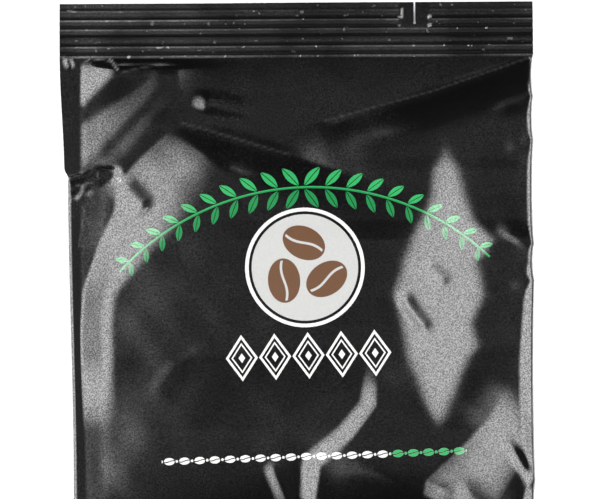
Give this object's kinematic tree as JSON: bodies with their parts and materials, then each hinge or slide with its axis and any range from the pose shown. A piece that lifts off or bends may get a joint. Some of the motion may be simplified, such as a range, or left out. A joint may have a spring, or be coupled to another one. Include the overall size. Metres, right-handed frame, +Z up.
{
  "type": "coffee filter pack",
  "caption": "Sealed pillow sachet of black satin film around a filter portion of ground coffee, with crimped end seals, a tear slit and a flat side seal",
  "frame": {"origin": "centre of the footprint, on the surface that the pack lies on", "axes": "+X across the front towards the folded edge, +Y towards the end seal with the tear slit, +Z up, out of the printed front"},
  "size_m": [0.12, 0.146, 0.0132],
  "materials": {
    "black_film": "satin black printed film laminate"
  },
  "bodies": {
    "root": {"sealed_pouch": "black_film"}
  },
  "joints": []
}
